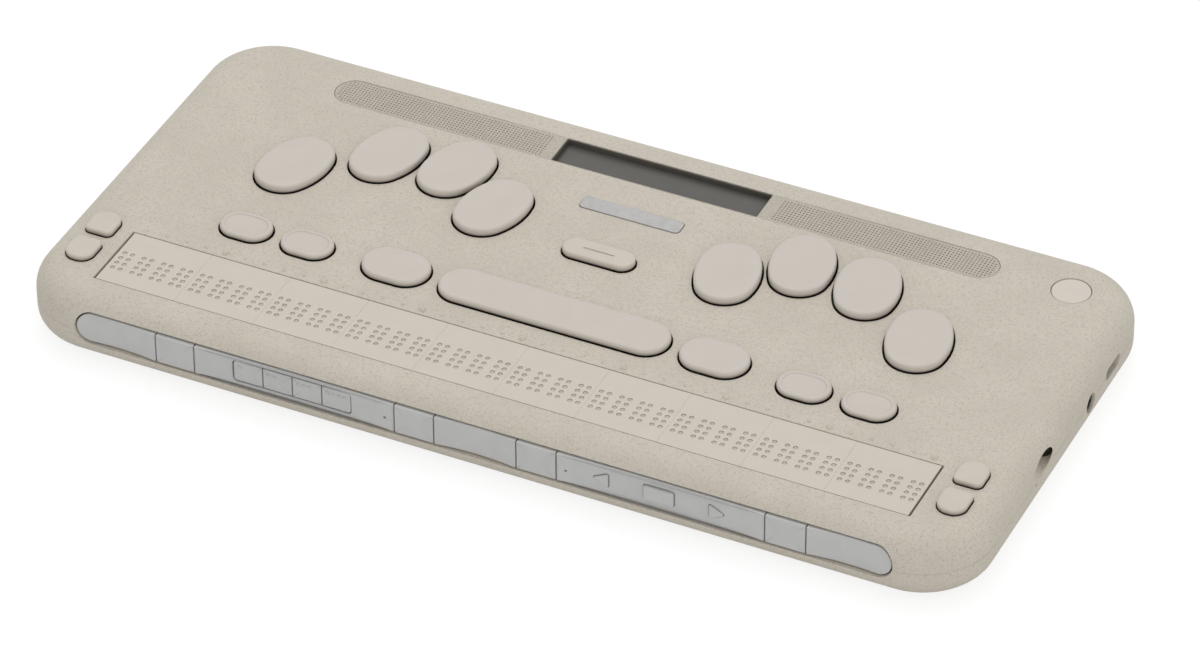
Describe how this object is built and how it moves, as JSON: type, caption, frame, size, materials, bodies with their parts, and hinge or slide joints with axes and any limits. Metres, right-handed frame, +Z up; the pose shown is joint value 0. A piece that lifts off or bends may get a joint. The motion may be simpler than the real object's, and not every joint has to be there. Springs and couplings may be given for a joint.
{
  "type": "braille notetaker",
  "caption": "Flat braille notetaker: a moulded case with a braille display, oval dot keys, a bar key, scroll keys, a front bar of thumb and media keys, a speaker strip and a small display.",
  "frame": {"origin": "middle of the case's plan, on the surface that the feet stand on", "axes": "+X to the user's right, +Y to the rear, +Z up"},
  "size_m": [0.3014, 0.1448, 0.0234],
  "materials": {
    "case_plastic": "fine speckled, satin",
    "key_plastic": "smooth satin",
    "cap_plastic": "smooth satin",
    "bar_plastic": "smooth satin",
    "window_glass": "dark, clear",
    "aluminium": "satin",
    "dark_plastic": "moulded",
    "board": "solder mask",
    "steel": "plain",
    "foot_rubber": "soft"
  },
  "bodies": {
    "case": {"top_case": "case_plastic", "bottom_case": "case_plastic", "speaker_panel": "case_plastic", "lcd_window": "window_glass", "lcd_module": "aluminium", "speaker_left": "dark_plastic", "speaker_right": "dark_plastic", "name_plate": "aluminium", "cell_caps": "cap_plastic", "cell_modules": "dark_plastic", "cell_board": "board", "key_board": "board", "main_board": "board", "battery": "dark_plastic", "panel_left": "bar_plastic", "panel_right": "bar_plastic", "front_board": "board", "charge_socket": "steel", "audio_socket": "dark_plastic", "case_screws": "steel", "feet": "foot_rubber"},
    "dot_key_1_body": {"dot_key_1": "key_plastic"},
    "dot_key_2_body": {"dot_key_2": "key_plastic"},
    "dot_key_3_body": {"dot_key_3": "key_plastic"},
    "dot_key_4_body": {"dot_key_4": "key_plastic"},
    "dot_key_5_body": {"dot_key_5": "key_plastic"},
    "dot_key_6_body": {"dot_key_6": "key_plastic"},
    "dot_key_7_body": {"dot_key_7": "key_plastic"},
    "dot_key_8_body": {"dot_key_8": "key_plastic"},
    "function_key_1_body": {"function_key_1": "key_plastic"},
    "function_key_2_body": {"function_key_2": "key_plastic"},
    "function_key_3_body": {"function_key_3": "key_plastic"},
    "function_key_4_body": {"function_key_4": "key_plastic"},
    "control_key_1_body": {"control_key_1": "key_plastic"},
    "control_key_2_body": {"control_key_2": "key_plastic"},
    "bar_key_body": {"bar_key": "key_plastic"},
    "pill_key_body": {"pill_key": "key_plastic"},
    "power_button_body": {"power_button": "key_plastic"},
    "scroll_key_1_body": {"scroll_key_1": "key_plastic"},
    "scroll_key_2_body": {"scroll_key_2": "key_plastic"},
    "scroll_key_3_body": {"scroll_key_3": "key_plastic"},
    "scroll_key_4_body": {"scroll_key_4": "key_plastic"},
    "centre_key_body": {"centre_key": "bar_plastic"},
    "end_key_left_body": {"end_key_left": "bar_plastic"},
    "end_key_right_body": {"end_key_right": "bar_plastic"},
    "thumb_key_1_body": {"thumb_key_1": "bar_plastic"},
    "thumb_key_2_body": {"thumb_key_2": "bar_plastic"},
    "thumb_key_3_body": {"thumb_key_3": "bar_plastic"},
    "thumb_key_4_body": {"thumb_key_4": "bar_plastic"},
    "program_key_1_body": {"program_key_1": "bar_plastic"},
    "program_key_2_body": {"program_key_2": "bar_plastic"},
    "program_key_3_body": {"program_key_3": "bar_plastic"},
    "program_key_4_body": {"program_key_4": "bar_plastic"},
    "media_key_1_body": {"media_key_1": "bar_plastic"},
    "media_key_2_body": {"media_key_2": "bar_plastic"},
    "media_key_3_body": {"media_key_3": "bar_plastic"},
    "pins_left_column_body": {"pins_left_column": "cap_plastic"},
    "pins_right_column_body": {"pins_right_column": "cap_plastic"}
  },
  "joints": [
    {"name": "dot_key_1_press", "type": "slide", "parent": "case", "child": "dot_key_1_body", "axis": [0, 0, -1], "range_m": [0, 0.0015], "stiffness_N_per_m": 450},
    {"name": "dot_key_2_press", "type": "slide", "parent": "case", "child": "dot_key_2_body", "axis": [0, 0, -1], "range_m": [0, 0.0015], "stiffness_N_per_m": 450},
    {"name": "dot_key_3_press", "type": "slide", "parent": "case", "child": "dot_key_3_body", "axis": [0, 0, -1], "range_m": [0, 0.0015], "stiffness_N_per_m": 450},
    {"name": "dot_key_4_press", "type": "slide", "parent": "case", "child": "dot_key_4_body", "axis": [0, 0, -1], "range_m": [0, 0.0015], "stiffness_N_per_m": 450},
    {"name": "dot_key_5_press", "type": "slide", "parent": "case", "child": "dot_key_5_body", "axis": [0, 0, -1], "range_m": [0, 0.0015], "stiffness_N_per_m": 450},
    {"name": "dot_key_6_press", "type": "slide", "parent": "case", "child": "dot_key_6_body", "axis": [0, 0, -1], "range_m": [0, 0.0015], "stiffness_N_per_m": 450},
    {"name": "dot_key_7_press", "type": "slide", "parent": "case", "child": "dot_key_7_body", "axis": [0, 0, -1], "range_m": [0, 0.0015], "stiffness_N_per_m": 450},
    {"name": "dot_key_8_press", "type": "slide", "parent": "case", "child": "dot_key_8_body", "axis": [0, 0, -1], "range_m": [0, 0.0015], "stiffness_N_per_m": 450},
    {"name": "function_key_1_press", "type": "slide", "parent": "case", "child": "function_key_1_body", "axis": [0, 0, -1], "range_m": [0, 0.0015], "stiffness_N_per_m": 450},
    {"name": "function_key_2_press", "type": "slide", "parent": "case", "child": "function_key_2_body", "axis": [0, 0, -1], "range_m": [0, 0.0015], "stiffness_N_per_m": 450},
    {"name": "function_key_3_press", "type": "slide", "parent": "case", "child": "function_key_3_body", "axis": [0, 0, -1], "range_m": [0, 0.0015], "stiffness_N_per_m": 450},
    {"name": "function_key_4_press", "type": "slide", "parent": "case", "child": "function_key_4_body", "axis": [0, 0, -1], "range_m": [0, 0.0015], "stiffness_N_per_m": 450},
    {"name": "control_key_1_press", "type": "slide", "parent": "case", "child": "control_key_1_body", "axis": [0, 0, -1], "range_m": [0, 0.0015], "stiffness_N_per_m": 450},
    {"name": "control_key_2_press", "type": "slide", "parent": "case", "child": "control_key_2_body", "axis": [0, 0, -1], "range_m": [0, 0.0015], "stiffness_N_per_m": 450},
    {"name": "bar_key_press", "type": "slide", "parent": "case", "child": "bar_key_body", "axis": [0, 0, -1], "range_m": [0, 0.0015], "stiffness_N_per_m": 450},
    {"name": "pill_key_press", "type": "slide", "parent": "case", "child": "pill_key_body", "axis": [0, 0, -1], "range_m": [0, 0.001], "stiffness_N_per_m": 700},
    {"name": "power_button_press", "type": "slide", "parent": "case", "child": "power_button_body", "axis": [0, 0, -1], "range_m": [0, 0.0006], "stiffness_N_per_m": 1500},
    {"name": "scroll_key_1_press", "type": "slide", "parent": "case", "child": "scroll_key_1_body", "axis": [0, 0, -1], "range_m": [0, 0.0008], "stiffness_N_per_m": 900},
    {"name": "scroll_key_2_press", "type": "slide", "parent": "case", "child": "scroll_key_2_body", "axis": [0, 0, -1], "range_m": [0, 0.0008], "stiffness_N_per_m": 900},
    {"name": "scroll_key_3_press", "type": "slide", "parent": "case", "child": "scroll_key_3_body", "axis": [0, 0, -1], "range_m": [0, 0.0008], "stiffness_N_per_m": 900},
    {"name": "scroll_key_4_press", "type": "slide", "parent": "case", "child": "scroll_key_4_body", "axis": [0, 0, -1], "range_m": [0, 0.0008], "stiffness_N_per_m": 900},
    {"name": "centre_key_press", "type": "slide", "parent": "case", "child": "centre_key_body", "axis": [0, 1, 0], "range_m": [0, 0.0006], "stiffness_N_per_m": 1300},
    {"name": "end_key_left_press", "type": "slide", "parent": "case", "child": "end_key_left_body", "axis": [0, 1, 0], "range_m": [0, 0.0006], "stiffness_N_per_m": 1300},
    {"name": "end_key_right_press", "type": "slide", "parent": "case", "child": "end_key_right_body", "axis": [0, 1, 0], "range_m": [0, 0.0006], "stiffness_N_per_m": 1300},
    {"name": "thumb_key_1_press", "type": "slide", "parent": "case", "child": "thumb_key_1_body", "axis": [0, 1, 0], "range_m": [0, 0.0006], "stiffness_N_per_m": 1300},
    {"name": "thumb_key_2_press", "type": "slide", "parent": "case", "child": "thumb_key_2_body", "axis": [0, 1, 0], "range_m": [0, 0.0006], "stiffness_N_per_m": 1300},
    {"name": "thumb_key_3_press", "type": "slide", "parent": "case", "child": "thumb_key_3_body", "axis": [0, 1, 0], "range_m": [0, 0.0006], "stiffness_N_per_m": 1300},
    {"name": "thumb_key_4_press", "type": "slide", "parent": "case", "child": "thumb_key_4_body", "axis": [0, 1, 0], "range_m": [0, 0.0006], "stiffness_N_per_m": 1300},
    {"name": "program_key_1_press", "type": "slide", "parent": "case", "child": "program_key_1_body", "axis": [0, 1, 0], "range_m": [0, 0.0006], "stiffness_N_per_m": 1300},
    {"name": "program_key_2_press", "type": "slide", "parent": "case", "child": "program_key_2_body", "axis": [0, 1, 0], "range_m": [0, 0.0006], "stiffness_N_per_m": 1300},
    {"name": "program_key_3_press", "type": "slide", "parent": "case", "child": "program_key_3_body", "axis": [0, 1, 0], "range_m": [0, 0.0006], "stiffness_N_per_m": 1300},
    {"name": "program_key_4_press", "type": "slide", "parent": "case", "child": "program_key_4_body", "axis": [0, 1, 0], "range_m": [0, 0.0006], "stiffness_N_per_m": 1300},
    {"name": "media_key_1_press", "type": "slide", "parent": "case", "child": "media_key_1_body", "axis": [0, 1, 0], "range_m": [0, 0.0006], "stiffness_N_per_m": 1300},
    {"name": "media_key_2_press", "type": "slide", "parent": "case", "child": "media_key_2_body", "axis": [0, 1, 0], "range_m": [0, 0.0006], "stiffness_N_per_m": 1300},
    {"name": "media_key_3_press", "type": "slide", "parent": "case", "child": "media_key_3_body", "axis": [0, 1, 0], "range_m": [0, 0.0006], "stiffness_N_per_m": 1300},
    {"name": "pins_left_column_rise", "type": "slide", "parent": "case", "child": "pins_left_column_body", "axis": [0, 0, 1], "range_m": [0, 0.0008]},
    {"name": "pins_right_column_rise", "type": "slide", "parent": "case", "child": "pins_right_column_body", "axis": [0, 0, 1], "range_m": [0, 0.0008]}
  ]
}
